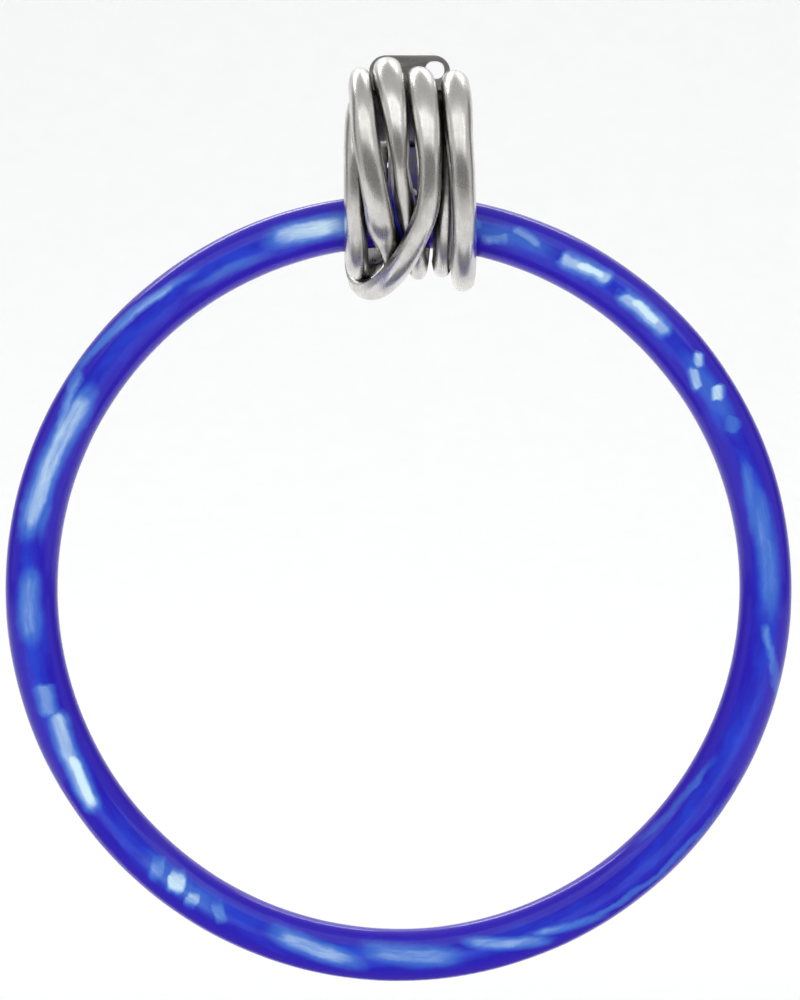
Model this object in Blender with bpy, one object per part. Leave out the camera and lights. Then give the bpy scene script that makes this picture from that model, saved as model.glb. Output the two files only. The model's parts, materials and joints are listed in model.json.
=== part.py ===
"""Clip-on hoop earring: a large round resin hoop hangs through a cuff of six crossing half-round bands.

A clip is hinged at the back of the cuff and closes on the ear lobe behind the cuff's top.
Frame: +X to the right as worn and seen from the front, +Y towards the wearer, +Z up, in metres.
The origin is the middle of the lobe rest's flat rear face, which lies on the ear lobe.
"""

import math

import bmesh
import bpy
from mathutils import Matrix, Vector

MM = 0.001

# The hoop: one ring of round rod.
HOOP_DIAMETER = 60.0 * MM  # outside
ROD_DIAMETER = 4.0 * MM
HOOP_CLEARANCE = 0.40 * MM  # below the rod, where it leaves the cuff's nearer side
HOOP_SHIFT = 0.85 * MM  # the loose hoop hangs this far to the left of the cuff's middle
HOOP_STEPS = 96
ROD_STEPS = 16

# The cuff: bands that follow one oval side profile, from the top, down the front and up the back.
CUFF_HEIGHT = 18.8 * MM
CUFF_DEPTH = 14.0 * MM
CUFF_WIDTH = 10.1 * MM
BAND_THICKNESS = 1.45 * MM
BAND_SIDE = 0.60 * MM  # the height of the edge under a band's domed face
BAND_FLARE = 0.08 * MM  # how far that edge widens towards the flat inner face
BAND_GAP = 0.10 * MM  # between a band and the one that it crosses over
BAND_COUNT = 6
BAND_STEP_DEG = 6.0
DOME_STEPS = 10
HOLE_STEPS = 24  # sides of the pin, the rivet and their holes
CUTTER_REACH = 1.5 * MM  # how far a helper body passes the piece that it shapes
LAYER = BAND_THICKNESS + BAND_GAP
PITCH = CUFF_WIDTH / BAND_COUNT

# The lobe rest: a flat strap under the bands' top ends.
REST_WIDTH = 8.0 * MM
REST_HEIGHT = 3.9 * MM
REST_THICKNESS = 0.8 * MM
REST_CORNER = 0.6 * MM
SOLDER_GAP = 0.08 * MM  # the film of solder between joined pieces

# The clip: a stamped base with two lugs, a pin, a leaf spring and a stamped paddle.
BASE_WIDTH = 8.4 * MM
BASE_THICKNESS = 0.8 * MM
BASE_FOOT_DEG = -163.0  # where the base's lower edge meets the profile
BASE_RISE = 1.0 * MM  # above the bands' rear ends
BASE_CORNER = 0.5 * MM
BASE_CLEARANCE = 0.18 * MM  # between the base and the bands' inner faces at its foot
LUG_ROOT = 0.7 * MM  # how far the lugs reach down into the base
PIN_DIAMETER = 0.8 * MM
PIN_CLEARANCE = 0.06 * MM  # around the pin, on the radius
PIN_HEAD_DIAMETER = 1.3 * MM
PIN_HEAD = 0.25 * MM
KNUCKLE_DIAMETER = 1.9 * MM
LUG_DIAMETER = 2.1 * MM
LUG_THICKNESS = 0.7 * MM
SIDE_PLAY = 0.12 * MM  # between the knuckle and each lug, and under the pin's heads
SPRING_THICKNESS = 0.25 * MM
SPRING_WIDTH = 3.3 * MM
SPRING_PLAY = 0.08 * MM  # between the leaf spring and the knuckle
SPRING_LIP = 0.35 * MM  # how far the leaf spring's upper end leans away from the knuckle
SPRING_LIP_BELOW = 0.2 * MM  # below the pin, where that lip starts
SPRING_LIP_ABOVE = 0.45 * MM  # above the pin, where it ends
SPRING_FOOT = 0.3 * MM  # above the base's lower edge
RIVET_DIAMETER = 0.7 * MM
RIVET_HEAD_DIAMETER = 1.3 * MM
RIVET_HEAD = 0.3 * MM
PADDLE_WIDTH = 6.2 * MM
PADDLE_THICKNESS = 0.7 * MM
PADDLE_RISE = 0.05 * MM  # above the bands' tops
PADDLE_PAD = 4.7 * MM  # height of the paddle's flat upper part
PADDLE_CORNER = 1.25 * MM
PADDLE_TAPER = 1.6 * MM  # height over which the arm narrows to the neck
PADDLE_NECK = 3.2 * MM  # width between the lugs
LOBE_GAP = 1.5 * MM  # between the lobe rest and the closed paddle
WINDOW_WIDTH = 1.45 * MM
WINDOW_HEIGHT = 1.35 * MM
WINDOW_CORNER = 0.6 * MM
BEND_OFFSET = 0.15 * MM  # the paddle's bend sits this much higher on its rear face
RIM = 0.45 * MM  # the paddle's frame around its two windows

# Each band's course: angle on the side profile (0 front, 90 top, -90 bottom, -180 back), sideways place
# and width in pitches, and depth in layers below the outermost surface.
BAND_COURSES = {
    "left_band": [
        (90, -2.24, 0.66, 1.06),
        (60, -2.22, 0.48, 1.12),
        (38, -2.10, 0.20, 1.18),
        (18, -1.97, 0.04, 1.25),
        (2, -1.73, 0.0, 1.25),
        (-14, -1.48, 0.0, 1.25),
        (-25, -1.33, 0.10, 1.32),
        (-34, -1.20, 0.44, 1.32),
        (-46, -0.94, 0.98, 1.24),
        (-60, -0.74, 1.0, 1.10),
        (-90, -0.66, 1.0, 1.0),
        (-120, -0.60, 1.0, 0.95),
        (-142, -0.50, 0.60, 0.95),
        (-158, -0.50, 0.20, 0.95),
        (-180, -0.50, 0.20, 0.95),
    ],
    "tall_band": [
        (90, -1.02, 0.12, 1.34),
        (60, -0.93, 0.10, 1.42),
        (38, -0.73, 0.10, 1.28),
        (18, -0.54, 0.18, 1.08),
        (2, -0.44, 0.40, 0.84),
        (-11, -0.31, 0.76, 0.98),
        (-24, -0.13, 1.0, 0.98),
        (-36, 0.08, 1.0, 0.94),
        (-48, 0.28, 1.0, 0.90),
        (-90, 0.38, 1.0, 0.92),
        (-120, 0.44, 1.0, 0.92),
        (-142, 0.50, 0.60, 0.94),
        (-158, 0.50, 0.20, 0.95),
        (-180, 0.50, 0.20, 0.95),
    ],
    "sweeping_band": [
        (90, 0.38, 0.60, 1.20),
        (60, 0.54, 0.44, 1.38),
        (38, 0.67, 0.24, 1.40),
        (18, 0.83, 0.06, 1.26),
        (2, 0.90, 0.0, 1.10),
        (-14, 0.83, 0.0, 1.10),
        (-24, 0.64, 0.0, 1.12),
        (-34, 0.31, 0.0, 1.12),
        (-44, -0.04, 0.0, 1.12),
        (-57, -0.54, 0.0, 1.12),
        (-72, -1.10, 0.0, 1.12),
        (-90, -1.70, 0.0, 1.10),
        (-110, -2.25, 0.0, 1.05),
        (-130, -2.50, 0.0, 0.95),
        (-158, -2.50, 0.20, 0.95),
        (-180, -2.50, 0.20, 0.95),
    ],
    "right_band": [
        (90, 2.00, 0.80, 1.22),
        (60, 2.09, 0.56, 1.34),
        (38, 2.15, 0.30, 1.36),
        (18, 2.22, 0.14, 1.24),
        (0, 2.34, 0.0, 1.18),
        (-24, 2.42, 0.0, 1.14),
        (-60, 2.43, 0.18, 1.14),
        (-90, 2.43, 0.42, 1.12),
        (-120, 2.46, 0.40, 1.05),
        (-158, 2.50, 0.20, 0.95),
        (-180, 2.50, 0.20, 0.95),
    ],
    "inner_left_band": [
        (56, -2.35, 1.60, 1.04),
        (38, -2.40, 1.27, 1.06),
        (18, -2.43, 1.06, 1.08),
        (-8, -2.43, 1.0, 1.08),
        (-40, -2.42, 1.0, 1.08),
        (-90, -2.32, 1.0, 1.12),
        (-102, -2.04, 1.0, 1.14),
        (-114, -1.71, 1.0, 1.08),
        (-128, -1.54, 1.0, 0.95),
        (-146, -1.50, 0.60, 0.95),
        (-158, -1.50, 0.20, 0.95),
        (-180, -1.50, 0.20, 0.95),
    ],
    "inner_right_band": [
        (56, 1.62, 1.62, 0.90),
        (38, 1.68, 1.36, 0.90),
        (18, 1.72, 1.18, 0.90),
        (-8, 1.68, 1.04, 0.98),
        (-40, 1.57, 1.12, 1.06),
        (-60, 1.53, 1.18, 0.98),
        (-90, 1.46, 1.12, 0.94),
        (-120, 1.48, 1.04, 0.88),
        (-142, 1.50, 0.60, 0.92),
        (-158, 1.50, 0.20, 0.95),
        (-180, 1.50, 0.20, 0.95),
    ],
}

# Where the pieces stand.
REAR_LAYER = 0.20  # depth of every band's rear end, in layers
DEEPEST_TOP_LAYER = max(course[0][2] for course in BAND_COURSES.values() if course[0][0] == 90)
REST_TOP_BELOW_CUFF = DEEPEST_TOP_LAYER * LAYER + BAND_THICKNESS + SOLDER_GAP
CUFF_CENTRE = Vector((0.0, 0.0, REST_HEIGHT / 2 + REST_TOP_BELOW_CUFF - CUFF_HEIGHT / 2))
CUFF_TOP = CUFF_CENTRE.z + CUFF_HEIGHT / 2
CUFF_FLOOR = CUFF_CENTRE.z - CUFF_HEIGHT / 2 + LAYER + BAND_THICKNESS
ROD_RADIUS = ROD_DIAMETER / 2
HOOP_RADIUS = HOOP_DIAMETER / 2 - ROD_RADIUS  # to the middle of the rod
HOOP_INSIDE = HOOP_RADIUS - ROD_RADIUS
HOOP_DROP = math.sqrt(HOOP_INSIDE**2 - (CUFF_WIDTH / 2 + HOOP_SHIFT) ** 2)
HOOP_CENTRE = Vector((-HOOP_SHIFT, 0.0, CUFF_FLOOR + HOOP_CLEARANCE - HOOP_DROP))
HOOP_PIVOT = HOOP_CENTRE + Vector((0.0, 0.0, HOOP_RADIUS))
PIN_RADIUS = PIN_DIAMETER / 2
PIN_HOLE_RADIUS = PIN_RADIUS + PIN_CLEARANCE
KNUCKLE_RADIUS = KNUCKLE_DIAMETER / 2
PADDLE_TOP = CUFF_TOP + PADDLE_RISE
LUG_INSIDE = PADDLE_NECK / 2 + SIDE_PLAY
LUG_OUTSIDE = LUG_INSIDE + LUG_THICKNESS


def profile_point(angle, depth):
    """A point of the side profile, so far below its outer surface, and the outward normal there."""
    a = math.radians(angle)
    half_depth, half_height = CUFF_DEPTH / 2, CUFF_HEIGHT / 2
    normal = Vector((0.0, -math.cos(a) / half_depth, math.sin(a) / half_height)).normalized()
    surface = Vector((0.0, -half_depth * math.cos(a), half_height * math.sin(a)))
    return CUFF_CENTRE + surface - depth * normal, normal


BASE_FOOT = profile_point(BASE_FOOT_DEG, REAR_LAYER * LAYER + BAND_THICKNESS)[0]
BASE_REAR = BASE_FOOT.y - BASE_CLEARANCE
BASE_FRONT = BASE_REAR - BASE_THICKNESS
BASE_TOP = CUFF_CENTRE.z + BASE_RISE
SPRING_REAR = BASE_FRONT - SOLDER_GAP
SPRING_FRONT = SPRING_REAR - SPRING_THICKNESS
PIN_CENTRE = Vector(
    (0.0, SPRING_REAR + SPRING_PLAY + KNUCKLE_RADIUS, BASE_TOP + SIDE_PLAY + KNUCKLE_RADIUS)
)
RIVET_Z = (BASE_FOOT.z + CUFF_CENTRE.z) / 2


def smooth(course, angle):
    """Sideways place, depth and width of a band at an angle, on a smooth curve through its course."""
    angles = [station[0] for station in course]
    i = 0
    while i < len(course) - 2 and angle < angles[i + 1]:
        i += 1

    def slope(k, value):
        low, high = max(k - 1, 0), min(k + 1, len(course) - 1)
        return (course[high][value] - course[low][value]) / (angles[high] - angles[low])

    span = angles[i + 1] - angles[i]
    t = (angle - angles[i]) / span
    result = []
    for value in (1, 2, 3):
        result.append(
            (2 * t**3 - 3 * t**2 + 1) * course[i][value]
            + (t**3 - 2 * t**2 + t) * span * slope(i, value)
            + (3 * t**2 - 2 * t**3) * course[i + 1][value]
            + (t**3 - t**2) * span * slope(i + 1, value)
        )
    return result


def course_point(course, angle):
    """A point on a band's domed crest, the outward normal there and the band's width."""
    sideways, layer, width = smooth(course, angle)
    point, normal = profile_point(angle, max(layer, 0.0) * LAYER)
    return point + Vector((sideways * PITCH, 0.0, 0.0)), normal, width * PITCH


def band_section(width):
    """A half-round section: points across the band and below its crest, from side to side."""
    dome = BAND_THICKNESS - BAND_SIDE
    points = []
    for k in range(DOME_STEPS + 1):
        a = math.pi * k / DOME_STEPS
        points.append(((width / 2 - BAND_FLARE) * math.cos(a), dome * (1 - math.sin(a))))
    chamfer = BAND_SIDE / 3
    points.append((-width / 2, BAND_THICKNESS - chamfer))
    points.append((-width / 2 + chamfer, BAND_THICKNESS))
    points.append((width / 2 - chamfer, BAND_THICKNESS))
    points.append((width / 2, BAND_THICKNESS - chamfer))
    return points


def material(name, colour, roughness, metallic):
    made = bpy.data.materials.new(name)
    made.use_nodes = True
    shader = made.node_tree.nodes["Principled BSDF"]
    shader.inputs["Base Color"].default_value = (*colour, 1.0)
    shader.inputs["Roughness"].default_value = roughness
    shader.inputs["Metallic"].default_value = metallic
    return made


def piece(name, shape, finish, pivot=None):
    """Turns a bmesh into a named object, hung from an empty on its joint's axis if it moves."""
    bmesh.ops.recalc_face_normals(shape, faces=shape.faces)
    mesh = bpy.data.meshes.new(name)
    shape.to_mesh(mesh)
    shape.free()
    if finish:
        mesh.materials.append(finish)
        mesh.shade_smooth()
        mesh.set_sharp_from_angle(angle=math.radians(40))
    made = bpy.data.objects.new(name, mesh)
    bpy.context.scene.collection.objects.link(made)
    if pivot:
        mesh.transform(Matrix.Translation(-pivot.location))
        made.parent = pivot
    return made


def axis_empty(name, place):
    empty = bpy.data.objects.new(name, None)
    empty.empty_display_size = 2 * MM
    empty.location = place
    bpy.context.scene.collection.objects.link(empty)
    return empty


def loft(rings):
    """Joins closed rings of points into one closed skin."""
    shape = bmesh.new()
    rows = [[shape.verts.new(point) for point in ring] for ring in rings]
    count = len(rows[0])
    for row, following in zip(rows, rows[1:]):
        for k in range(count):
            n = (k + 1) % count
            shape.faces.new((row[k], row[n], following[n], following[k]))
    shape.faces.new(rows[0])
    shape.faces.new(rows[-1])
    return shape


def prism(outline, low, high, along):
    """An outline of two coordinates drawn out from low to high along X (outline y, z) or Y (outline x, z)."""
    if along == "X":
        return loft([[(level, y, z) for y, z in outline] for level in (low, high)])
    return loft([[(x, level, z) for x, z in outline] for level in (low, high)])


def turned(profile, centre, along, steps):
    """A solid of revolution: profile gives the place along the axis and the radius there."""
    rings = []
    for place, radius in profile:
        ring = []
        for k in range(steps):
            a = 2 * math.pi * k / steps
            u, v = radius * math.cos(a), radius * math.sin(a)
            offset = (place, u, v) if along == "X" else (u, place, v)
            ring.append(centre + Vector(offset))
        rings.append(ring)
    return loft(rings)


def arc(centre, radius, start, end, steps):
    """Points of an arc in a plane, from one angle to another in degrees."""
    points = []
    for k in range(steps + 1):
        a = math.radians(start + (end - start) * k / steps)
        points.append((centre[0] + radius * math.cos(a), centre[1] + radius * math.sin(a)))
    return points


def rounded_box(low, high, radius, steps=8):
    """A rectangle in a plane with four round corners."""
    (u0, v0), (u1, v1) = low, high
    r = min(radius, 0.45 * (u1 - u0), 0.45 * (v1 - v0))
    return (
        arc((u1 - r, v0 + r), r, -90, 0, steps)
        + arc((u1 - r, v1 - r), r, 0, 90, steps)
        + arc((u0 + r, v1 - r), r, 90, 180, steps)
        + arc((u0 + r, v0 + r), r, 180, 270, steps)
    )


def combine(target, operation, tool):
    """Adds a live Boolean with a helper body, which stays as a wire guide."""
    tool.hide_render = True
    tool.display_type = "WIRE"
    modifier = target.modifiers.new(tool.name, "BOOLEAN")
    modifier.operation = operation
    modifier.solver = "EXACT"
    modifier.object = tool


def make_hoop(resin):
    pivot = axis_empty("hoop_swing_axis", HOOP_PIVOT)
    rings = []
    shape = bmesh.new()
    for i in range(HOOP_STEPS):
        a = 2 * math.pi * i / HOOP_STEPS
        ring = []
        for k in range(ROD_STEPS):
            b = 2 * math.pi * k / ROD_STEPS
            reach = HOOP_RADIUS + ROD_RADIUS * math.cos(b)
            offset = Vector((reach * math.sin(a), ROD_RADIUS * math.sin(b), reach * math.cos(a)))
            ring.append(shape.verts.new(HOOP_CENTRE + offset))
        rings.append(ring)
    for i, ring in enumerate(rings):
        following = rings[(i + 1) % HOOP_STEPS]
        for k in range(ROD_STEPS):
            n = (k + 1) % ROD_STEPS
            shape.faces.new((ring[k], ring[n], following[n], following[k]))
    piece("hoop", shape, resin, pivot)


def make_band(name, course, silver):
    start, end = course[0][0], course[-1][0]
    count = round((start - end) / BAND_STEP_DEG)
    rings = []
    for i in range(count + 1):
        angle = start + (end - start) * i / count
        point, normal, width = course_point(course, angle)
        ahead = course_point(course, max(angle - 1, end))[0]
        behind = course_point(course, min(angle + 1, start))[0]
        along = (ahead - behind).normalized()
        side = along.cross(normal).normalized()
        out = side.cross(along).normalized()
        rings.append([point + side * u - out * v for u, v in band_section(width)])
    piece(name, loft(rings), silver)


def make_lobe_rest(silver):
    outline = rounded_box(
        (-REST_WIDTH / 2, -REST_HEIGHT / 2), (REST_WIDTH / 2, REST_HEIGHT / 2), REST_CORNER
    )
    piece("lobe_rest", prism(outline, -REST_THICKNESS, 0.0, "Y"), silver)


def rivet_hole():
    """A helper body for the rivet's hole, through the leaf spring and the base."""
    radius = RIVET_DIAMETER / 2 + PIN_CLEARANCE
    ends = [(-CUTTER_REACH, radius), (CUTTER_REACH, radius)]
    return turned(ends, Vector((0.0, BASE_FRONT, RIVET_Z)), "Y", HOLE_STEPS)


def make_clip_base(silver):
    plate = rounded_box((-BASE_WIDTH / 2, BASE_FOOT.z), (BASE_WIDTH / 2, BASE_TOP), BASE_CORNER)
    base = piece("clip_base", prism(plate, BASE_FRONT, BASE_REAR, "Y"), silver)
    lug_radius = LUG_DIAMETER / 2
    pin = (PIN_CENTRE.y, PIN_CENTRE.z)
    root = BASE_TOP - LUG_ROOT
    lug = [(pin[0] - lug_radius, root), (pin[0] + lug_radius, root)] + arc(pin, lug_radius, 0, 180, 20)
    for side, low, high in (("left", -LUG_OUTSIDE, -LUG_INSIDE), ("right", LUG_INSIDE, LUG_OUTSIDE)):
        combine(base, "UNION", piece(f"{side}_lug_form", prism(lug, low, high, "X"), None))
    reach = LUG_OUTSIDE + CUTTER_REACH
    pin_hole = turned([(-reach, PIN_HOLE_RADIUS), (reach, PIN_HOLE_RADIUS)], PIN_CENTRE, "X", HOLE_STEPS)
    combine(base, "DIFFERENCE", piece("base_pin_hole", pin_hole, None))
    combine(base, "DIFFERENCE", piece("base_rivet_hole", rivet_hole(), None))


def make_leaf_spring(steel):
    lip_top = PIN_CENTRE.z + SPRING_LIP_ABOVE
    lip_start = PIN_CENTRE.z - SPRING_LIP_BELOW
    foot = BASE_FOOT.z + SPRING_FOOT
    outline = [
        (SPRING_FRONT, foot),
        (SPRING_REAR, foot),
        (SPRING_REAR, lip_start),
        (SPRING_REAR - SPRING_LIP, lip_top),
        (SPRING_FRONT - SPRING_LIP, lip_top),
        (SPRING_FRONT, lip_start),
    ]
    spring = piece("leaf_spring", prism(outline, -SPRING_WIDTH / 2, SPRING_WIDTH / 2, "X"), steel)
    combine(spring, "DIFFERENCE", piece("spring_rivet_hole", rivet_hole(), None))


def make_rivet(steel):
    radius, head = RIVET_DIAMETER / 2, RIVET_HEAD_DIAMETER / 2
    face = SPRING_FRONT - SOLDER_GAP / 2
    profile = [
        (face - RIVET_HEAD, 0.5 * head),
        (face - 0.6 * RIVET_HEAD, 0.85 * head),
        (face - 0.2 * RIVET_HEAD, head),
        (face, head),
        (face, radius),
        (BASE_REAR, radius),
    ]
    piece("spring_rivet", turned(profile, Vector((0.0, 0.0, RIVET_Z)), "Y", HOLE_STEPS), steel)


def make_hinge_pin(steel):
    head = PIN_HEAD_DIAMETER / 2
    reach = LUG_OUTSIDE + SIDE_PLAY / 2
    profile = [
        (-reach - PIN_HEAD, 0.7 * head),
        (-reach - 0.4 * PIN_HEAD, head),
        (-reach, head),
        (-reach, PIN_RADIUS),
        (reach, PIN_RADIUS),
        (reach, head),
        (reach + 0.4 * PIN_HEAD, head),
        (reach + PIN_HEAD, 0.7 * head),
    ]
    piece("hinge_pin", turned(profile, PIN_CENTRE, "X", HOLE_STEPS), steel)


def paddle_side():
    """The paddle blank's side outline (y, z): knuckle at the bottom, sloping arm, upright pad on top."""
    pad_bottom = PADDLE_TOP - PADDLE_PAD
    blank_top = PADDLE_TOP + CUTTER_REACH
    front, rear = LOBE_GAP, LOBE_GAP + PADDLE_THICKNESS
    pin = (PIN_CENTRE.y, PIN_CENTRE.z)
    slope = math.degrees(math.atan2(pad_bottom - pin[1], (front + rear) / 2 - pin[0]))
    half_angle = math.degrees(math.asin(PADDLE_THICKNESS / 2 / KNUCKLE_RADIUS))
    knuckle = arc(pin, KNUCKLE_RADIUS, slope + half_angle, slope - half_angle + 360, 18)
    return knuckle + [(rear, pad_bottom + BEND_OFFSET), (rear, blank_top), (front, blank_top), (front, pad_bottom)]


def make_paddle(silver):
    pivot = axis_empty("clip_hinge_axis", PIN_CENTRE)
    top = PADDLE_TOP
    half, neck = PADDLE_WIDTH / 2, PADDLE_NECK / 2
    shoulder = top - PADDLE_PAD
    blank = half + CUTTER_REACH
    paddle = piece("paddle", prism(paddle_side(), -blank, blank, "X"), silver, pivot)
    below = PIN_CENTRE.z - 2 * KNUCKLE_RADIUS
    neck_top, pad_foot = shoulder - PADDLE_TAPER, shoulder
    turn = (half - PADDLE_CORNER, top - PADDLE_CORNER)
    outline = (
        [(-neck, below), (neck, below), (neck, neck_top), (half, pad_foot)]
        + arc(turn, PADDLE_CORNER, 0, 90, 10)
        + arc((-turn[0], turn[1]), PADDLE_CORNER, 90, 180, 10)
        + [(-half, pad_foot), (-neck, neck_top)]
    )
    reach = CUFF_DEPTH
    combine(paddle, "INTERSECT", piece("paddle_outline", prism(outline, -reach, reach, "Y"), None))
    for side in (-1, 1):
        outer = side * (half - RIM)
        inner = side * (half - RIM - WINDOW_WIDTH)
        window = rounded_box(
            (min(outer, inner), top - RIM - WINDOW_HEIGHT),
            (max(outer, inner), top - RIM),
            WINDOW_CORNER,
        )
        name = "left_window" if side < 0 else "right_window"
        combine(paddle, "DIFFERENCE", piece(name, prism(window, 0.0, reach, "Y"), None))
    hole = turned([(-blank, PIN_HOLE_RADIUS), (blank, PIN_HOLE_RADIUS)], PIN_CENTRE, "X", HOLE_STEPS)
    combine(paddle, "DIFFERENCE", piece("paddle_pin_hole", hole, None))


def main():
    for thing in list(bpy.data.objects):
        bpy.data.objects.remove(thing, do_unlink=True)
    resin = material("blue_pearl_resin", (0.03, 0.04, 0.55), 0.12, 0.0)
    silver = material("satin_silver", (0.62, 0.61, 0.60), 0.30, 1.0)
    steel = material("spring_steel", (0.45, 0.44, 0.43), 0.35, 1.0)
    make_hoop(resin)
    for name, course in BAND_COURSES.items():
        make_band(name, course, silver)
    make_lobe_rest(silver)
    make_clip_base(silver)
    make_leaf_spring(steel)
    make_rivet(steel)
    make_hinge_pin(steel)
    make_paddle(silver)


main()
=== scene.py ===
# %% [markdown]
# This lesson dresses a clip-on hoop earring. The solid model is loaded first, and it is the frame
# that everything else stands in: every visible piece is made where a solid already is, at its size.
# The box around the solids is kept.

# %% Load the solid model
import json
import math

import bpy
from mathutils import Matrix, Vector
from mathutils.bvhtree import BVHTree

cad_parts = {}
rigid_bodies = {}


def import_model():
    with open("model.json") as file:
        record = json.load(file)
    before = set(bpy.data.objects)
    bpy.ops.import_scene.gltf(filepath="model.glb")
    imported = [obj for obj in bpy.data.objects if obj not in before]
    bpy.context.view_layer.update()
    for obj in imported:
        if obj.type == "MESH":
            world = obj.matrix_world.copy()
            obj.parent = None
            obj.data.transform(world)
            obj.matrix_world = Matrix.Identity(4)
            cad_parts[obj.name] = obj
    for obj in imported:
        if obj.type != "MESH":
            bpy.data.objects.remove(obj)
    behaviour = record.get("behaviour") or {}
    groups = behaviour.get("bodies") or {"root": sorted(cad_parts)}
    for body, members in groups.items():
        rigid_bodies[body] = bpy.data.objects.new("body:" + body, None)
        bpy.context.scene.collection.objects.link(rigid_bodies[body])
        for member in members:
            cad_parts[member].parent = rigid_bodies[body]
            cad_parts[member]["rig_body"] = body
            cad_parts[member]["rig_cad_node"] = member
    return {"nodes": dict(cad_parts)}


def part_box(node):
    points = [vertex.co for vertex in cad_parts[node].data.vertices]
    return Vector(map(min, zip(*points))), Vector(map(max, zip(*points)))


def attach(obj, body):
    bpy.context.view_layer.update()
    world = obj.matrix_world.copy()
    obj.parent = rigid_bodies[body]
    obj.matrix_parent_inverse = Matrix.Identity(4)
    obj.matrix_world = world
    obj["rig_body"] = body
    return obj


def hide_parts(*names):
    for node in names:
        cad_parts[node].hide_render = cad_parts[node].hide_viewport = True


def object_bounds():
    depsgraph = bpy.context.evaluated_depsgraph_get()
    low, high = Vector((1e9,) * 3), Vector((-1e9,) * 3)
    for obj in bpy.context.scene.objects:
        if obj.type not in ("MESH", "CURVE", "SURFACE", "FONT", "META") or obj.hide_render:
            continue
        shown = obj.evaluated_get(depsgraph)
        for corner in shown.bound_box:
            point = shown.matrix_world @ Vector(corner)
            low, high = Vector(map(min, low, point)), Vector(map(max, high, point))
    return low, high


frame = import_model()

MM = 0.001
solid_box = [[float(value) for value in corner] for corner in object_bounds()]
print("solids:", len(frame["nodes"]), "box:", solid_box)

# %% [markdown]
# The camera looks straight at the front of the earring, level with it, through a long lens, so that
# the round hoop stays round. Its distance comes from similar triangles: a 36 mm high sensor behind
# a 200 mm lens sees a field 0.18 times as high as it is far away.

# %% Place the camera
hoop_low, hoop_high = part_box("hoop")
HOOP_CENTRE = (hoop_low + hoop_high) / 2
HOOP_OUTSIDE = (hoop_high.z - hoop_low.z) / 2
ROD_RADIUS = (hoop_high.y - hoop_low.y) / 2
HOOP_RADIUS = HOOP_OUTSIDE - ROD_RADIUS

LENS = 200.0
SENSOR = 36.0
FIELD_HEIGHT = 76.3 * MM
AIM = HOOP_CENTRE + Vector((0.11 * MM, 0.0, 6.71 * MM))  # the middle of the whole earring
CAMERA_DISTANCE = FIELD_HEIGHT * LENS / SENSOR

bpy.ops.object.camera_add(
    location=AIM + Vector((0.0, -CAMERA_DISTANCE, 0.0)), rotation=(math.pi / 2, 0.0, 0.0)
)
camera = bpy.context.object
camera.name = "front_camera"
camera.data.sensor_fit = "VERTICAL"
camera.data.sensor_height = SENSOR
camera.data.lens = LENS
camera.data.clip_start = 0.01
bpy.context.scene.camera = camera
print("camera at", [round(value, 4) for value in camera.location])

# %% [markdown]
# A finish is a small network of shader nodes. Wiring nodes one by one is slow to read, so two small
# classes let a network be written as sums. A Wire is the output of a node, and adding, multiplying
# or subtracting wires adds a Math node. A Finish is one material, and its method "node" adds any
# node: first the node's settings, then the values or wires of its sockets.


# %% Write node networks as sums
class Wire:
    """The output of a node, for use in sums."""

    def __init__(self, finish, socket):
        self.finish, self.socket = finish, socket

    def __add__(self, other):
        return self.finish.sum("ADD", self, other)

    def __mul__(self, other):
        return self.finish.sum("MULTIPLY", self, other)

    def __sub__(self, other):
        return self.finish.sum("SUBTRACT", self, other)

    def __rsub__(self, other):
        return self.finish.sum("SUBTRACT", other, self)

    def __truediv__(self, other):
        return self.finish.sum("DIVIDE", self, other)

    __radd__, __rmul__ = __add__, __mul__


class Finish:
    """One material, and the nodes that colour it."""

    def __init__(self, name):
        self.material = bpy.data.materials.new(name)
        self.material.use_nodes = True
        self.tree = self.material.node_tree
        self.shader = self.tree.nodes["Principled BSDF"]
        self.place = self.node("ShaderNodeTexCoord", output="Object")

    def node(self, kind, settings=None, values=None, output=0):
        made = self.tree.nodes.new(kind)
        for name, value in (settings or {}).items():
            setattr(made, name, value)
        self.connect(made, values or {})
        return Wire(self, made.outputs[output])

    def connect(self, node, values):
        for name, value in values.items():
            socket = node.inputs[name]
            if isinstance(value, Wire):
                self.tree.links.new(value.socket, socket)
            elif isinstance(value, (tuple, list)) and socket.type == "RGBA":
                socket.default_value = (*value, 1.0)
            else:
                socket.default_value = value

    def sum(self, operation, first, second=0.0):
        return self.node("ShaderNodeMath", {"operation": operation}, {0: first, 1: second})

    def axes(self):
        parts = self.node("ShaderNodeSeparateXYZ", values={0: self.place}).socket.node
        return [Wire(self, parts.outputs[index]) for index in range(3)]

    def vector(self, x, y, z=0.0):
        return self.node("ShaderNodeCombineXYZ", values={0: x, 1: y, 2: z})

    def step(self, value, low, high):
        """Rises softly from 0 at low to 1 at high. Low may be above high."""
        values = {"Value": value, "From Min": low, "From Max": high}
        return self.node("ShaderNodeMapRange", {"interpolation_type": "SMOOTHSTEP"}, values)

    def noise(self, where, size, detail=3.0, roughness=0.5):
        """Cloudy noise from 0 to 1, with lumps of about this size in metres."""
        values = {"Vector": where, "Scale": 1.0 / size, "Detail": detail, "Roughness": roughness}
        return self.node("ShaderNodeTexNoise", values=values)

    def stretched(self, scale):
        """Object coordinates scaled on each axis, for a pattern drawn out along some of them."""
        return self.node("ShaderNodeMapping", values={"Vector": self.place, "Scale": scale})

    def blend(self, factor, first, second):
        """One colour turning into another."""
        values = {"Factor": factor, 6: first, 7: second}
        return self.node("ShaderNodeMix", {"data_type": "RGBA"}, values, output=2)

    def bump(self, height, depth):
        """A normal from a height of 0 to 1, so many metres deep."""
        return self.node("ShaderNodeBump", values={"Height": height, "Distance": depth})


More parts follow.
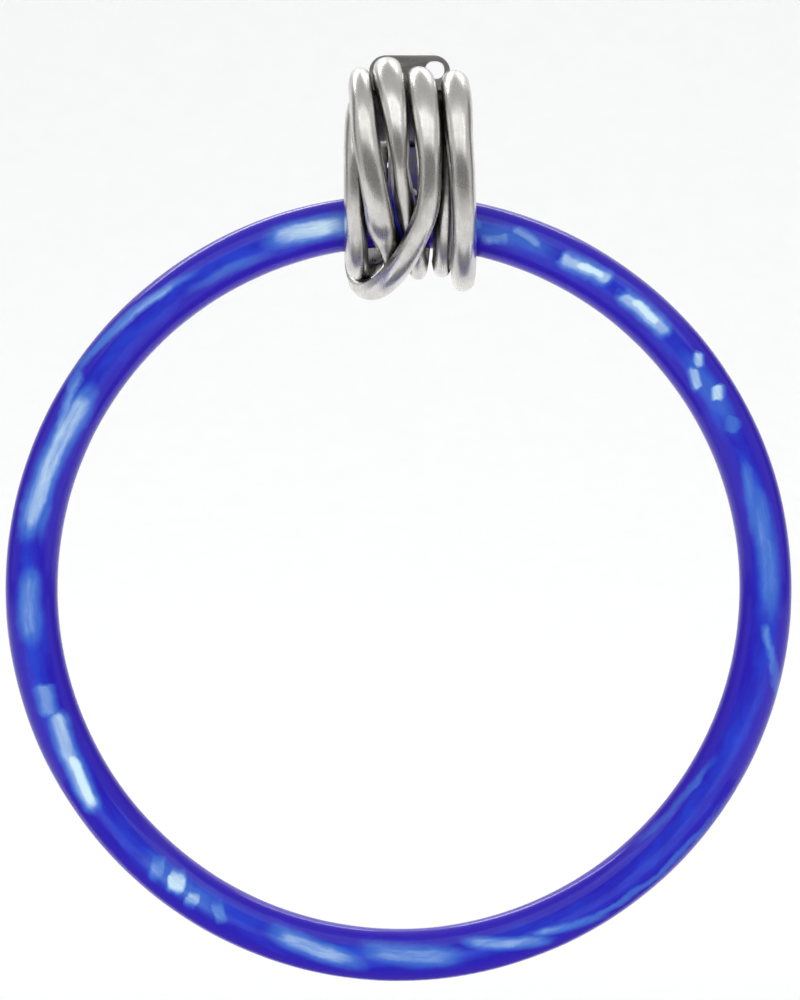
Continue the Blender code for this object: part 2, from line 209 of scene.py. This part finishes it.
print("node helpers ready")

# %% [markdown]
# Rhodium-plated brass has a soft, slightly warm grey shine. Three things keep it from looking like
# chrome: a fine grain that runs the way the bands were polished, a cloudy change in gloss, and
# painted shade, a near-black colour where shade falls between the bands and inside the cuff. Each
# metal piece carries an attribute named "enclosure" for that, measured further on by sending out
# rays. The grain is noise that is stretched in the plane of the bands and fine across them, so it
# runs along every band.

# %% Finish of the plated bands
GRAIN_WIDTH = 0.10 * MM
GRAIN_STRETCH = (1.0, 0.07, 0.07)
BLAST_SIZE = 0.07 * MM
CLOUD_SIZE = 2.2 * MM
TIRED_FROM, TIRED_TO = 0.35, 0.68  # where on the clouds the gloss starts to go, and is gone
# painted shade: enclosed metal is painted near black, where shade falls in gaps and hollows
SHADE_FROM, SHADE_TO = 0.42, 0.84  # how enclosed metal is where it starts to darken, and is darkest
SHADE_PATCHES = 0.30  # how far the clouds move that border
SHADE_ROUGHNESS = 0.22


def metal_finish(name, bright, dull, shade_colour, gloss, grain_depth, grain_stretch):
    """A satin metal: colours of clean and tired metal and of the painted shade, roughness range, grain
    depth.
    """
    finish = Finish(name)
    enclosure = finish.node("ShaderNodeAttribute", {"attribute_name": "enclosure"}, output="Fac")
    grain = finish.noise(finish.stretched(grain_stretch), GRAIN_WIDTH, detail=4.0, roughness=0.6)
    blast = finish.noise(finish.place, BLAST_SIZE, detail=2.0)
    cloud = finish.noise(finish.place, CLOUD_SIZE, detail=4.0, roughness=0.62)
    tired = finish.step(cloud * 0.7 + grain * 0.3, TIRED_FROM, TIRED_TO)
    worn = finish.blend(tired, bright, dull)
    # painted shade: darkens the metal where it is enclosed, between the bands and inside the cuff, with a
    # cloudy uneven border
    painted_shade = finish.step(enclosure + (cloud - 0.5) * SHADE_PATCHES, SHADE_FROM, SHADE_TO)
    low, high = gloss
    finish.connect(
        finish.shader,
        {
            "Base Color": finish.blend(painted_shade, worn, shade_colour),
            "Roughness": low + (high - low) * tired + grain * 0.06 + painted_shade * SHADE_ROUGHNESS,
            "Metallic": 1.0,
            "Normal": finish.bump(grain * 0.75 + blast * 0.45, grain_depth),
        },
    )
    return finish.material


plated = metal_finish(
    "satin_plate",
    bright=(0.80, 0.785, 0.755),
    dull=(0.64, 0.62, 0.585),
    # the colour of the painted shade in enclosed places
    shade_colour=(0.035, 0.026, 0.020),
    gloss=(0.20, 0.30),
    grain_depth=0.0045 * MM,
    grain_stretch=GRAIN_STRETCH,
)
print("material:", plated.name)

# %% [markdown]
# The clip's spring, rivet and pin are bare steel: darker, and left as the wire and strip were drawn.
# The same finish serves with other numbers. The paddle and its base are stamped and tumbled, so
# their grain has no direction.

# %% Finishes of the clip
steel = metal_finish(
    "drawn_steel",
    bright=(0.56, 0.55, 0.54),
    dull=(0.40, 0.39, 0.38),
    # the colour of the painted shade in enclosed places
    shade_colour=(0.03, 0.022, 0.017),
    gloss=(0.26, 0.38),
    grain_depth=0.003 * MM,
    grain_stretch=(0.12, 0.5, 0.5),
)
stamped = metal_finish(
    "tumbled_plate",
    bright=(0.62, 0.605, 0.58),
    dull=(0.44, 0.42, 0.39),
    # the colour of the painted shade in enclosed places
    shade_colour=(0.035, 0.025, 0.018),
    gloss=(0.24, 0.36),
    grain_depth=0.004 * MM,
    grain_stretch=(0.8, 0.8, 0.8),
)
print("materials:", steel.name, stamped.name)

# %% [markdown]
# The hoop is cast from blue resin with pearl powder stirred in. The powder settles in soft ribbons
# and short bright flakes under a clear, wet-looking skin. The pattern is laid out flat first: one
# axis runs along the rod in millimetres, the other across it from the inner to the outer side.
# Polar coordinates around the hoop's middle give both, and they stay with the hoop as it swings.

# %% Flat coordinates for the hoop's pattern
resin = Finish("pearl_resin")
x, y, z = resin.axes()
SEAM_DEG = -166.0  # the flat pattern is cut here, where the resin is plain
WANDER_SIZE, FLUTTER_SIZE = 2.4 * MM, 0.7 * MM  # how coarse the marks' uneven edges are
WANDER_ALONG, FLUTTER_ALONG = 1.6, 0.5  # and how far they stray, in mm
WANDER_ACROSS, FLUTTER_ACROSS = 0.7, 0.22
right, up = x - HOOP_CENTRE.x, z - HOOP_CENTRE.z
turn = resin.sum("ARCTAN2", up, right) * (180.0 / math.pi)
turn = turn + resin.sum("LESS_THAN", turn, SEAM_DEG) * 360.0
across = (resin.sum("SQRT", right * right + up * up) - HOOP_RADIUS) / MM
MM_PER_DEG = HOOP_RADIUS / MM * math.pi / 180.0
wander = resin.noise(resin.place, WANDER_SIZE, detail=3.0) - 0.5
flutter = resin.noise(resin.place, FLUTTER_SIZE, detail=3.0) - 0.5
flat = resin.vector(
    turn * MM_PER_DEG + wander * WANDER_ALONG + flutter * FLUTTER_ALONG,
    across + wander * WANDER_ACROSS + flutter * FLUTTER_ACROSS,
)
print("millimetres of rod per degree:", round(MM_PER_DEG, 3))

# %% [markdown]
# Each ribbon or flake of pearl is a soft capsule on that flat sheet. A Mapping node of the Texture
# type moves it to its place, turns it and scales it to a square from -1 to 1. It then fades towards
# its blunt ends and, more softly, towards its flanks. The strongest mark wins at every point. The
# angles go round the hoop anticlockwise from its right-hand side, and the tilt lets a ribbon cross
# the rod on a slant. A short bright mark on top of a longer one makes a glowing core.

# %% Lay out the pearl
BLUNT = 0.75  # how square the ends of a mark are
FLANK_EDGE, FLANK_FULL = 1.1, 0.15  # where a mark's flank ends, and where it reaches full strength
# angle in degrees, place across in mm, length and width in mm, tilt in degrees, strength, softness
RIBBONS = [
    (104, 0.1, 8.6, 2.9, 3, 0.86, 0.80),
    (118, -0.6, 9.0, 1.3, 3, 0.36, 0.70),
    (136, 1.15, 14.0, 1.1, 5, 0.72, 0.55),
    (150, 0.9, 6.0, 1.5, -14, 0.66, 0.35),
    (159.5, 0.1, 13.5, 2.9, 4, 0.74, 0.35),
    (166, -0.3, 7.0, 1.6, -8, 0.42, 0.70),
    (183, 0.1, 6.8, 2.9, 5, 0.54, 0.50),
    (6, 0.15, 13.5, 2.7, -3, 0.48, 0.65),
    (14, -0.4, 7.0, 1.5, 6, 0.44, 0.60),
    (32, 0.1, 9.0, 2.6, 0, 0.34, 0.70),
    (72, 0.1, 9.0, 2.4, 0, 0.36, 0.70),
    (234, 0.0, 9.0, 2.8, 0, 0.40, 0.70),
    (257, 0.2, 9.0, 2.3, 8, 0.66, 0.60),
    (272, -0.1, 9.5, 2.6, 6, 0.58, 0.65),
    (287, 0.2, 8.0, 1.4, 16, 0.64, 0.50),
    (297, 0.8, 7.0, 1.0, 12, 0.54, 0.50),
    (312, 1.35, 18.0, 0.8, 2, 0.55, 0.60),
    (322, -1.2, 11.0, 0.9, 3, 0.45, 0.60),
    (349, 0.9, 6.0, 1.1, -24, 0.52, 0.30),
]
FLAKES = [
    (197.5, 0.1, 3.0, 2.3, 6, 0.56, 0.30),
    (208, 0.1, 9.0, 2.2, 6, 0.70, 0.25),
    (211, 0.15, 6.0, 1.5, 7, 1.00, 0.55),
    (229.5, 0.1, 1.6, 2.6, -30, 0.52, 0.50),
    (233.0, 0.0, 1.7, 2.4, -26, 0.86, 0.50),
    (236.5, 0.3, 1.3, 2.2, -22, 0.66, 0.50),
    (240.5, 0.0, 1.2, 2.2, -34, 0.50, 0.55),
    (26, 0.2, 1.3, 2.0, 24, 0.40, 0.55),
    (31.5, 0.4, 1.9, 1.7, 30, 0.78, 0.45),
    (35.5, -0.3, 2.0, 1.4, 18, 0.70, 0.45),
    (37.5, 0.7, 1.4, 1.2, 40, 0.72, 0.45),
    (48.5, 0.1, 5.0, 2.1, -3, 0.70, 0.25),
    (48.5, 0.2, 3.8, 1.3, -3, 0.96, 0.60),
    (59.5, 0.15, 5.0, 2.1, -4, 0.70, 0.25),
    (59.0, 0.25, 3.8, 1.3, -4, 0.96, 0.60),
    (70, 0.4, 3.0, 1.3, 12, 0.56, 0.45),
    (74.5, -0.3, 2.8, 1.2, -16, 0.52, 0.45),
    (79, 0.4, 2.0, 1.1, 10, 0.46, 0.45),
]


def pearl_mask(marks, sheet):
    """The strongest of many marks, each soft across the rod and ended more or less sharply along it."""
    total = None
    for angle, side, length, width, tilt, strength, softness in marks:
        values = {
            "Vector": sheet,
            "Location": (((angle - SEAM_DEG) % 360.0 + SEAM_DEG) * MM_PER_DEG, side, 0.0),
            "Rotation": (0.0, 0.0, math.radians(tilt)),
            "Scale": (length / 2, width / 2, 1.0),
        }
        local = resin.node("ShaderNodeMapping", {"vector_type": "TEXTURE"}, values)
        parts = resin.node("ShaderNodeSeparateXYZ", values={0: local}).socket.node
        along, sideways = (resin.sum("ABSOLUTE", Wire(resin, parts.outputs[index])) for index in (0, 1))
        far = resin.sum("SQRT", along * along + sideways * sideways * (1.0 - BLUNT))
        end = resin.step(far, 1.0 + softness / 4, 1.0 - softness)
        flank = resin.step(sideways, FLANK_EDGE, FLANK_FULL)
        mask = end * flank * strength
        total = mask if total is None else resin.sum("MAXIMUM", total, mask)
    return total


ribbons = pearl_mask(RIBBONS, flat)
flakes = pearl_mask(FLAKES, flat)
print("ribbons:", len(RIBBONS), "flakes:", len(FLAKES))

# %% [markdown]
# Fine strands run through the pearl, and a slow marbling changes the blue between the ribbons. The
# resin is painted deep violet towards the rod's two sides and brighter along its middle: painted
# shade and painted light, for the clear skin that looks thicker near the sides. A faint mark is sky
# blue, and only a strong one is pearly white. The strong marks also glow a little, which is painted
# light. Gloss comes from the shader's clear coat.

# %% Finish of the resin
STRAND_WIDTH, MARBLE_WIDTH = 0.45, 1.1  # in mm across the rod; the Scale draws both out along it
strand_place = resin.node(
    "ShaderNodeMapping", values={"Vector": flat, "Scale": (0.16, 1.0, 1.0), "Rotation": (0.0, 0.0, 0.10)}
)
strands = resin.noise(strand_place, STRAND_WIDTH, detail=5.0, roughness=0.62)
marble_place = resin.node("ShaderNodeMapping", values={"Vector": flat, "Scale": (0.22, 0.8, 1.0)})
marble = resin.noise(marble_place, MARBLE_WIDTH, detail=3.0, roughness=0.5)
side = resin.sum("ABSOLUTE", across) / (ROD_RADIUS / MM)
# painted shade towards the rod's two sides, and painted light along its middle
rim_shade = resin.step(side, 0.45, 1.0)
middle_light = resin.step(side, 0.85, 0.1)

VIOLET = (0.044, 0.010, 0.50)
ROYAL = (0.030, 0.015, 0.64)
AZURE = (0.030, 0.088, 0.90)
SKY = (0.085, 0.245, 0.90)
PEARL = (0.66, 0.88, 1.0)
# strength of the painted glow of the strong pearl marks
PAINTED_GLOW = 0.30
RIPPLE_SIZE, RIPPLE_DEPTH = 0.9 * MM, 0.004 * MM
# painted light: the marbled blue is brighter along the rod's middle
body = resin.blend(resin.step(marble * 0.85 + middle_light * 0.35, 0.52, 1.04), ROYAL, AZURE)
# painted shade: the resin turns violet towards the rod's two sides
body = resin.blend(rim_shade * 0.85, body, VIOLET)
# painted light: the pearl is stronger along the rod's middle
shine = ribbons * (0.55 + 0.75 * strands) * (0.55 + 0.45 * middle_light)
shine = resin.sum("MAXIMUM", shine, flakes * (0.72 + 0.5 * strands))
colour = resin.blend(resin.step(shine, 0.02, 0.50), body, SKY)
colour = resin.blend(resin.step(shine, 0.38, 1.0), colour, PEARL)
resin.connect(
    resin.shader,
    {
        "Base Color": colour,
        "Roughness": 0.24 - 0.08 * shine,
        "Normal": resin.bump(resin.noise(resin.place, RIPPLE_SIZE, detail=1.0), RIPPLE_DEPTH),
        "Specular IOR Level": 0.10,
        # painted light: the strong pearl marks glow a little, though they are no lamp
        "Emission Color": resin.blend(resin.step(shine, 0.35, 1.0), (0.0, 0.0, 0.0), PEARL),
        "Emission Strength": PAINTED_GLOW,
        "Coat Weight": 0.55,
        "Coat Roughness": 0.05,
        "Coat IOR": 1.45,
    },
)
print("material:", resin.material.name, "nodes:", len(resin.tree.nodes))

# %% [markdown]
# The hoop itself starts as a torus of the real size. A cast and hand-polished rod is never quite
# even, so a Displace modifier with a soft cloud moves its skin by a few hundredths of a millimetre.
# Reflections then wobble a little along it, as they do on the real thing.


# %% Make the hoop
HOOP_STEPS, ROD_STEPS = 320, 48
POLISH_SIZE, POLISH_DEPTH = 6 * MM, 0.05 * MM


def only(piece):
    """Selects one object, so that the next operator works on nothing else."""
    bpy.ops.object.select_all(action="DESELECT")
    piece.select_set(True)
    bpy.context.view_layer.objects.active = piece


def apply_modifiers(piece):
    only(piece)
    for modifier in list(piece.modifiers):
        bpy.ops.object.modifier_apply(modifier=modifier.name)


def finish_piece(piece, material, body, slot, *nodes):
    """Gives a piece its material, hangs it on its body and lets it stand for its solids."""
    piece.data.materials.clear()
    piece.data.materials.append(material)
    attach(piece, body)
    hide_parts(*nodes)
    print(piece.name, len(piece.data.polygons), "faces")


bpy.ops.object.select_all(action="DESELECT")
bpy.ops.mesh.primitive_torus_add(
    location=HOOP_CENTRE,
    rotation=(math.pi / 2, 0.0, 0.0),
    major_segments=HOOP_STEPS,
    minor_segments=ROD_STEPS,
    major_radius=HOOP_RADIUS,
    minor_radius=ROD_RADIUS,
)
hoop = bpy.context.object
hoop.name = "pearl_hoop"
bpy.ops.object.transform_apply(location=True, rotation=True, scale=True)
unevenness = bpy.data.textures.new("hand_polish", "CLOUDS")
unevenness.noise_scale = POLISH_SIZE
polish = hoop.modifiers.new("hand_polish", "DISPLACE")
polish.texture = unevenness
polish.texture_coords = "LOCAL"
polish.strength = POLISH_DEPTH
apply_modifiers(hoop)
bpy.ops.object.shade_smooth()
finish_piece(hoop, resin.material, "hoop", "resin", "hoop")

# %% [markdown]
# The six bands are half-round wires that cross over each other. Their solids are right, but made of
# flat facets. A copy is merged into one skin, its triangles are joined into four-sided faces, its
# sharp edges get a narrow bevel that catches the light, and a Subdivision Surface rounds the rest.

# %% Make the bands
OUTER_BANDS = ("left_band", "tall_band", "sweeping_band", "right_band")
INNER_BANDS = ("inner_left_band", "inner_right_band")
BAND_BEVEL = 0.035 * MM
SHARP_DEG = 32.0  # an edge that turns more than this is a real edge
QUAD_LIMIT = math.radians(60)
MERGE_WITHIN = 0.001 * MM


def working_copy(node, name):
    """A merged copy of a solid, free of the body that the solid rides on."""
    solid = frame["nodes"][node]
    made = solid.copy()
    made.data = solid.data.copy()
    made.name = name
    made.parent = None
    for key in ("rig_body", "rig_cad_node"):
        del made[key]
    bpy.context.scene.collection.objects.link(made)
    only(made)
    bpy.ops.mesh.customdata_custom_splitnormals_clear()
    bpy.ops.object.mode_set(mode="EDIT")
    bpy.ops.mesh.select_all(action="SELECT")
    bpy.ops.mesh.remove_doubles(threshold=MERGE_WITHIN)
    return made


def bevel(piece, width, segments=2, angle=SHARP_DEG):
    edge = piece.modifiers.new("edges", "BEVEL")
    edge.width, edge.segments = width, segments
    edge.limit_method, edge.angle_limit = "ANGLE", math.radians(angle)
    edge.harden_normals = False
    edge.miter_outer = "MITER_ARC"


bands = {}
for name in (*OUTER_BANDS, *INNER_BANDS):
    band = working_copy(name, name + "_plated")
    bpy.ops.mesh.tris_convert_to_quads(face_threshold=QUAD_LIMIT, shape_threshold=QUAD_LIMIT)
    bpy.ops.object.mode_set(mode="OBJECT")
    bevel(band, BAND_BEVEL)
    rounding = band.modifiers.new("rounding", "SUBSURF")
    rounding.levels = rounding.render_levels = 1
    apply_modifiers(band)
    bpy.ops.object.shade_smooth_by_angle(angle=math.radians(SHARP_DEG))
    bands[name] = band
    print(band.name, len(band.data.polygons), "faces")

# %% [markdown]
# The lobe rest, the clip's base, the leaf spring and the paddle are cut from sheet. On a copy of the
# solid, a limited dissolve takes away the triangles inside flat faces, and a bevel then rounds the
# punched edges evenly.

# %% Make the stamped pieces
STAMPED = {  # edge rounding, finish and slot
    "lobe_rest": (0.12 * MM, plated, "satin_silver"),
    "clip_base": (0.07 * MM, stamped, "satin_silver"),
    "leaf_spring": (0.04 * MM, steel, "spring_steel"),
    "paddle": (0.09 * MM, stamped, "satin_silver"),
}
flat_pieces = {}
for name, (edge_width, material, slot) in STAMPED.items():
    piece = working_copy(name, name + "_stamped")
    bpy.ops.mesh.dissolve_limited(angle_limit=math.radians(1))
    bpy.ops.object.mode_set(mode="OBJECT")
    bevel(piece, edge_width, segments=3)
    apply_modifiers(piece)
    bpy.ops.object.shade_smooth_by_angle(angle=math.radians(SHARP_DEG))
    flat_pieces[name] = piece
    print(piece.name, len(piece.data.polygons), "faces")

# %% [markdown]
# The hinge pin and the rivet are turned pieces. Each starts as a thin cylinder between its ends, is
# extruded in place and scaled out to the head's width, then extruded outwards and drawn in twice for
# the peened dome of a head that was closed with a hammer.
#
# One flaw is still in it: the shank gets a wide shell, the rivet a second head, and neither skin is
# closed. The likely cause is that a new cylinder's points are all selected, and marking a face
# outside edit mode doesn't deselect them, so the whole cylinder is extruded and not only its end
# face. Selecting nothing in edit mode first should cure it.

# %% Make the pin and the rivet
PIN_RADIUS, PIN_HEAD = 0.4 * MM, 0.25 * MM
RIVET_RADIUS, RIVET_HEAD = 0.35 * MM, 0.30 * MM
HEAD_STEPS = ((0.45, 1.0), (0.35, 0.86), (0.20, 0.62))  # share of the head's height, and of its width
TURNED_SIDES = 40
TURNED_BEVEL, TURNED_EDGE_DEG, TURNED_SHARP_DEG = 0.03 * MM, 50.0, 40.0


def turned_piece(name, low, high, axis, radius, heads):
    """A shank along X (0) or Y (1) from corner to corner of a box, with a peened head at some ends."""
    centre = (low + high) / 2
    size = high - low
    head_radius = size.z / 2
    length = size[axis] - sum(heads.values())
    middle = centre.copy()
    middle[axis] += (heads.get(-1, 0.0) - heads.get(1, 0.0)) / 2
    turn_to = (0.0, math.pi / 2, 0.0) if axis == 0 else (math.pi / 2, 0.0, 0.0)
    bpy.ops.object.select_all(action="DESELECT")
    bpy.ops.mesh.primitive_cylinder_add(
        vertices=TURNED_SIDES, radius=radius, depth=length, location=middle, rotation=turn_to
    )
    made = bpy.context.object
    made.name = name
    bpy.ops.object.transform_apply(location=True, rotation=True, scale=True)
    across_axis = [0.0 if index == axis else 1.0 for index in range(3)]

    def widen(share, at):
        scale = [share if part else 1.0 for part in across_axis]
        bpy.ops.transform.resize(value=scale, center_override=at)

    for end, height in heads.items():
        for face in made.data.polygons:
            face.select = face.normal[axis] * end > 0.9
        bpy.ops.object.mode_set(mode="EDIT")
        bpy.ops.mesh.select_mode(type="FACE")
        bpy.ops.mesh.extrude_region_move(TRANSFORM_OT_translate={"value": (0.0, 0.0, 0.0)})
        widen(head_radius / radius, middle)
        width = 1.0
        for rise, share in HEAD_STEPS:
            move = [0.0, 0.0, 0.0]
            move[axis] = end * height * rise
            bpy.ops.mesh.extrude_region_move(TRANSFORM_OT_translate={"value": move})
            widen(share / width, middle)
            width = share
        bpy.ops.mesh.select_all(action="DESELECT")
        bpy.ops.object.mode_set(mode="OBJECT")
    bevel(made, TURNED_BEVEL, angle=TURNED_EDGE_DEG)
    apply_modifiers(made)
    bpy.ops.object.shade_smooth_by_angle(angle=math.radians(TURNED_SHARP_DEG))
    return made


pin = turned_piece("hinge_pin_peened", *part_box("hinge_pin"), 0, PIN_RADIUS, {-1: PIN_HEAD, 1: PIN_HEAD})
rivet = turned_piece("spring_rivet_peened", *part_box("spring_rivet"), 1, RIVET_RADIUS, {-1: RIVET_HEAD})
print("pin:", len(pin.data.polygons), "rivet:", len(rivet.data.polygons), "faces")

# %% [markdown]
# Now the "enclosure" attribute, which says where the painted shade goes. From every point of a
# metal piece rays go out over a half sphere, and the share that hits metal within nine
# millimetres, which reaches across the inside of the cuff, is stored. The gaps between bands and
# the inside, where shade falls, come out near 1, and the crowns of the bands near 0. It is measured
# once, with the clip closed. The rays leave in a sunflower's spiral, which spreads them evenly.

# %% Measure how enclosed each point is
RAYS = 22
RAY_REACH = 9.0 * MM
LIFT = 0.01 * MM  # a ray starts this far off the skin, so that it doesn't hit its own face
GOLDEN_TURN = math.pi * (3 - math.sqrt(5))
half_sphere = []
for k in range(RAYS):
    rise = math.sqrt(1 - (k + 0.5) / RAYS)
    out = math.sqrt(1 - rise**2)
    half_sphere.append(Vector((out * math.cos(k * GOLDEN_TURN), out * math.sin(k * GOLDEN_TURN), rise)))

metal = {**bands, **flat_pieces, "hinge_pin": pin, "spring_rivet": rivet}
points, faces = [], []
for piece in metal.values():
    start = len(points)
    points += [vertex.co.copy() for vertex in piece.data.vertices]
    faces += [tuple(start + index for index in face.vertices) for face in piece.data.polygons]
tree = BVHTree.FromPolygons(points, faces)
for name, piece in metal.items():
    enclosure = []
    for vertex in piece.data.vertices:
        turned = Vector((0.0, 0.0, 1.0)).rotation_difference(vertex.normal).to_matrix()
        origin = vertex.co + vertex.normal * LIFT
        hits = sum(tree.ray_cast(origin, turned @ ray, RAY_REACH)[0] is not None for ray in half_sphere)
        enclosure.append(hits / RAYS)
    attribute = piece.data.attributes.new("enclosure", "FLOAT", "POINT")
    attribute.data.foreach_set("value", enclosure)
    print(name, len(enclosure), "points, enclosed", round(sum(enclosure) / len(enclosure), 3))

# %% [markdown]
# Every piece now gets its material and rides on the body that its solid rides on: the paddle swings
# on the clip, and everything else stays with the cuff.

# %% Finish the metal pieces
for name, piece in bands.items():
    finish_piece(piece, plated, "cuff", "satin_silver", name)
for name, piece in flat_pieces.items():
    edge_width, material, slot = STAMPED[name]
    finish_piece(piece, material, "clip" if name == "paddle" else "cuff", slot, name)
finish_piece(pin, steel, "cuff", "spring_steel", "hinge_pin")
finish_piece(rivet, steel, "cuff", "spring_steel", "spring_rivet")

# %% [markdown]
# The studio is a pale floor that curves up into a wall behind the earring. The earring hangs a
# little above the floor, as it does when worn. The floor is a grid whose far part is moved, point
# by point, up along a quarter circle, so that no horizon shows.

# %% Build the floor and the wall
FLOOR_BELOW = 12 * MM
FLOOR_Z = solid_box[0][2] - FLOOR_BELOW
FLOOR_HALF = 1.6
FLOOR_ROWS = 96
BEND_START = 0.35
BEND_RADIUS = 0.45
QUARTER_TURN = math.pi / 2
bpy.ops.object.select_all(action="DESELECT")
bpy.ops.mesh.primitive_grid_add(
    x_subdivisions=2, y_subdivisions=FLOOR_ROWS, size=2 * FLOOR_HALF, location=(0.0, 0.0, FLOOR_Z)
)
floor = bpy.context.object
floor.name = "pale_floor"
bpy.ops.object.transform_apply(location=True, rotation=True, scale=True)
for vertex in floor.data.vertices:
    past = vertex.co.y - BEND_START
    bend = min(max(past / BEND_RADIUS, 0.0), QUARTER_TURN)
    straight = max(past - BEND_RADIUS * QUARTER_TURN, 0.0)
    if past > 0.0:
        vertex.co.y = BEND_START + BEND_RADIUS * math.sin(bend)
        vertex.co.z = FLOOR_Z + BEND_RADIUS * (1 - math.cos(bend)) + straight
bpy.ops.object.shade_smooth()
paper = Finish("pale_paper")
fibre = paper.noise(paper.place, 4 * MM, detail=4.0)
paper_tone = paper.blend(fibre, (0.90, 0.90, 0.90), (0.93, 0.93, 0.93))
paper.connect(paper.shader, {"Base Color": paper_tone, "Roughness": 0.85})
floor.data.materials.append(paper.material)
print("floor at", round(FLOOR_Z, 4))

# %% [markdown]
# Light makes metal. Two narrow strips above and a little behind draw the thin white lines on the
# hoop. A wide soft panel in front, above the camera, fills the upper half of the cuff, two dimmer
# ones light its flanks, and one overhead softens the whole. The last light brightens the wall and is
# kept out of reflections. A grey card stands in front and another lies low down: the metal mirrors
# them, and those darker zones make it read as metal. Only reflections see the cards, and the camera
# sees no panel.


# %% Light the studio
def soft_panel(name, place, target, width, height, power):
    bpy.ops.object.light_add(type="AREA", location=place)
    lamp = bpy.context.object
    lamp.name = name
    lamp.data.shape = "RECTANGLE"
    lamp.data.size, lamp.data.size_y = width, height
    lamp.data.energy = power
    lamp.rotation_euler = (Vector(target) - Vector(place)).to_track_quat("-Z", "Y").to_euler()
    lamp.visible_camera = False
    return lamp


CUFF = Vector((0.0, 0.0, (solid_box[1][2] + hoop_high.z) / 2))


def towards(x, y, z, distance):
    """A place so far from the cuff in some direction."""
    return CUFF + Vector((x, y, z)).normalized() * distance


STRIP_DISTANCE, PANEL_DISTANCE, CEILING_DISTANCE = 0.5, 0.62, 0.70  # in metres from the cuff
PANELS = [  # name, direction, distance, width and height in metres, power in watts
    ("top_left_strip", (-0.40, 0.595, 0.697), STRIP_DISTANCE, 0.32, 0.05, 0.34),
    ("top_right_strip", (0.243, 0.595, 0.766), STRIP_DISTANCE, 0.20, 0.05, 0.18),
    ("front_panel", (0.0, -0.68, 0.73), PANEL_DISTANCE, 1.10, 0.42, 1.62),
    ("left_panel", (-1.0, -0.30, 0.45), PANEL_DISTANCE, 0.56, 0.60, 0.46),
    ("right_panel", (1.0, -0.30, 0.45), PANEL_DISTANCE, 0.56, 0.60, 0.46),
    ("ceiling_panel", (0.0, 0.12, 1.0), CEILING_DISTANCE, 1.60, 1.00, 1.7),
]
WALL_LIGHT_AT, WALL_SPOT = (0.0, 0.55, 0.85), (0.0, 0.85, 0.05)

for name, direction, distance, width, height, power in PANELS:
    soft_panel(name, towards(*direction, distance), CUFF, width, height, power)
wall_light = soft_panel("wall_light", WALL_LIGHT_AT, WALL_SPOT, width=1.4, height=0.4, power=5.5)
wall_light.visible_glossy = False

cards = Finish("grey_card")
weave = cards.noise(cards.place, 2 * MM)
card_tone = cards.blend(weave, (0.17, 0.17, 0.17), (0.21, 0.21, 0.21))
cards.connect(cards.shader, {"Base Color": card_tone, "Roughness": 0.9})
CARD_STEPS = 4


def grey_card(name, place, size, upright):
    """A card that only reflections see: neither the camera nor a shadow shows it."""
    bpy.ops.object.select_all(action="DESELECT")
    bpy.ops.mesh.primitive_grid_add(
        x_subdivisions=CARD_STEPS, y_subdivisions=CARD_STEPS, size=1.0, location=place
    )
    card = bpy.context.object
    card.name = name
    card.rotation_euler = (math.pi / 2 if upright else 0.0, 0.0, 0.0)
    card.scale = (*size, 1.0)
    bpy.ops.object.transform_apply(location=True, rotation=True, scale=True)
    card.visible_camera = False
    card.visible_shadow = False
    card.visible_diffuse = False
    card.data.materials.append(cards.material)


grey_card("front_card", (0.0, -0.26, CUFF.z - 0.01), (0.9, 0.16), upright=True)
grey_card("low_card", (0.0, -0.008, FLOOR_Z + 1 * MM), (0.14, 0.045), upright=False)

AIR_COLOUR = (0.95, 0.97, 1.0, 1.0)
AIR_STRENGTH = 0.16
world = bpy.data.worlds.new("studio_air")
world.use_nodes = True
air = world.node_tree.nodes["Background"]
air.inputs["Color"].default_value = AIR_COLOUR
air.inputs["Strength"].default_value = AIR_STRENGTH
bpy.context.scene.world = world
bpy.context.scene.view_settings.view_transform = "Standard"

# %% [markdown]
# Last, the scene is brought up to date.

# %% Bring the scene up to date
bpy.context.view_layer.update()
